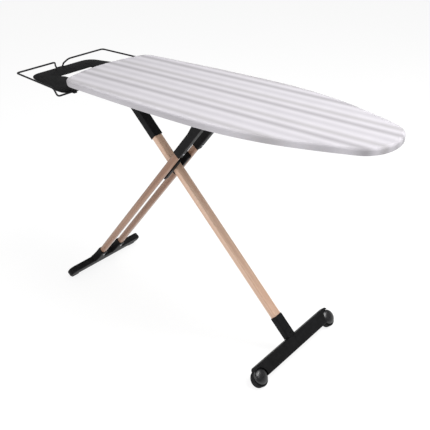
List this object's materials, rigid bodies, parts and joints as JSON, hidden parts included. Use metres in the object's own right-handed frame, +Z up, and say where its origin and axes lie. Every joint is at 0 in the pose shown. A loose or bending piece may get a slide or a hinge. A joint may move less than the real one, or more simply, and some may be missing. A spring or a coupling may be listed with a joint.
{
  "type": "ironing board",
  "caption": "Folding ironing board with a striped cotton cover, beech scissor legs, black feet and an iron rest with a wire rack.",
  "frame": {"origin": "centre of the footprint on the floor", "axes": "+X from the iron rest's end to the nose, along the board's length; +Y across; +Z up"},
  "size_m": [1.4694, 0.487, 0.9],
  "materials": {
    "cotton_cover": "woven cotton, matt, striped",
    "felt": "needled felt",
    "expanded_steel": "powder coated, satin",
    "black_steel": "powder coated, satin",
    "black_wire": "powder coated, satin",
    "zinc_steel": "zinc plated, satin",
    "rest_plastic": "moulded, matt",
    "beech": "clear lacquered, satin",
    "black_plastic": "moulded, satin",
    "wheel_plastic": "moulded, glossy",
    "pale_nylon": "moulded, satin",
    "black_rubber": "moulded, matt"
  },
  "bodies": {
    "board": {"cover": "cotton_cover", "felt_pad": "felt", "steam_panel": "expanded_steel", "rim_channel": "black_steel", "cross_brace_tail": "black_steel", "cross_brace_hinge": "black_steel", "cross_brace_mid": "black_steel", "cross_brace_nose": "black_steel", "guide_rail_near": "zinc_steel", "guide_rail_far": "zinc_steel", "leg_hinge_bracket": "black_steel", "leg_hinge_pin": "zinc_steel", "brake_rod": "zinc_steel", "rod_holder_tail": "black_steel", "rod_holder_nose": "black_steel", "iron_rest": "rest_plastic", "rest_arm_near": "black_steel", "rest_arm_far": "black_steel", "wire_rack": "black_wire", "wire_clip_tail": "black_plastic", "wire_clip_near": "black_plastic", "wire_clip_far": "black_plastic"},
    "leg_a": {"leg_a_wood": "beech", "leg_a_upper_sleeve": "black_plastic", "leg_a_lower_sleeve": "black_plastic", "front_foot_bar": "black_plastic", "foot_pad_near": "black_rubber", "foot_pad_far": "black_rubber", "wheel_axle_near": "zinc_steel", "wheel_axle_far": "zinc_steel", "screw_a_upper": "zinc_steel", "screw_a_lower": "zinc_steel"},
    "near_wheel": {"wheel_near": "wheel_plastic"},
    "far_wheel": {"wheel_far": "wheel_plastic"},
    "leg_b": {"leg_b_pole_near": "beech", "leg_b_pole_far": "beech", "leg_b_upper_sleeve_near": "black_plastic", "leg_b_upper_sleeve_far": "black_plastic", "pivot_saddle_near": "black_plastic", "pivot_saddle_far": "black_plastic", "cross_pivot_pin": "zinc_steel", "rear_foot_bar": "black_plastic", "rear_foot_pad_near": "black_rubber", "rear_foot_pad_far": "black_rubber", "screw_b_upper_near": "zinc_steel", "screw_b_upper_far": "zinc_steel", "screw_b_lower_near": "zinc_steel", "screw_b_lower_far": "zinc_steel"},
    "carriage": {"carriage_axle": "zinc_steel", "slide_block_near": "pale_nylon", "slide_block_far": "pale_nylon", "lever_bracket": "black_steel", "brake_plate": "zinc_steel", "lever_spring": "zinc_steel"},
    "lever": {"release_lever": "black_steel", "lever_grip": "black_plastic"}
  },
  "joints": [
    {"name": "fold", "type": "hinge", "parent": "board", "child": "leg_a", "pos_m": [-0.3555, 0, 0.86], "axis": [0, -1, 0], "range_deg": [-5, 44]},
    {"name": "crossing", "type": "hinge", "parent": "leg_a", "child": "leg_b", "pos_m": [-0.1155, 0, 0.59], "axis": [0, -1, 0], "range_deg": [-88, 10]},
    {"name": "carriage_level", "type": "hinge", "parent": "leg_b", "child": "carriage", "pos_m": [0.1245, 0, 0.86], "axis": [0, -1, 0], "range_deg": [-5, 44]},
    {"name": "release", "type": "hinge", "parent": "carriage", "child": "lever", "pos_m": [0.1605, 0.11, 0.838], "axis": [0, -1, 0], "range_deg": [0, 12], "stiffness_Nm_per_rad": 0.4, "springref_deg": -20.05},
    {"name": "near_wheel_roll", "type": "hinge", "parent": "leg_a", "child": "near_wheel", "pos_m": [0.44205, -0.213, 0.04164], "axis": [0.7071, 0, 0.7071], "continuous": true},
    {"name": "far_wheel_roll", "type": "hinge", "parent": "leg_a", "child": "far_wheel", "pos_m": [0.44205, 0.213, 0.04164], "axis": [0.7071, 0, 0.7071], "continuous": true}
  ],
  "couplings": [
    {"joint": "crossing", "follows": "fold", "ratio": -2},
    {"joint": "carriage_level", "follows": "fold", "ratio": 1}
  ]
}
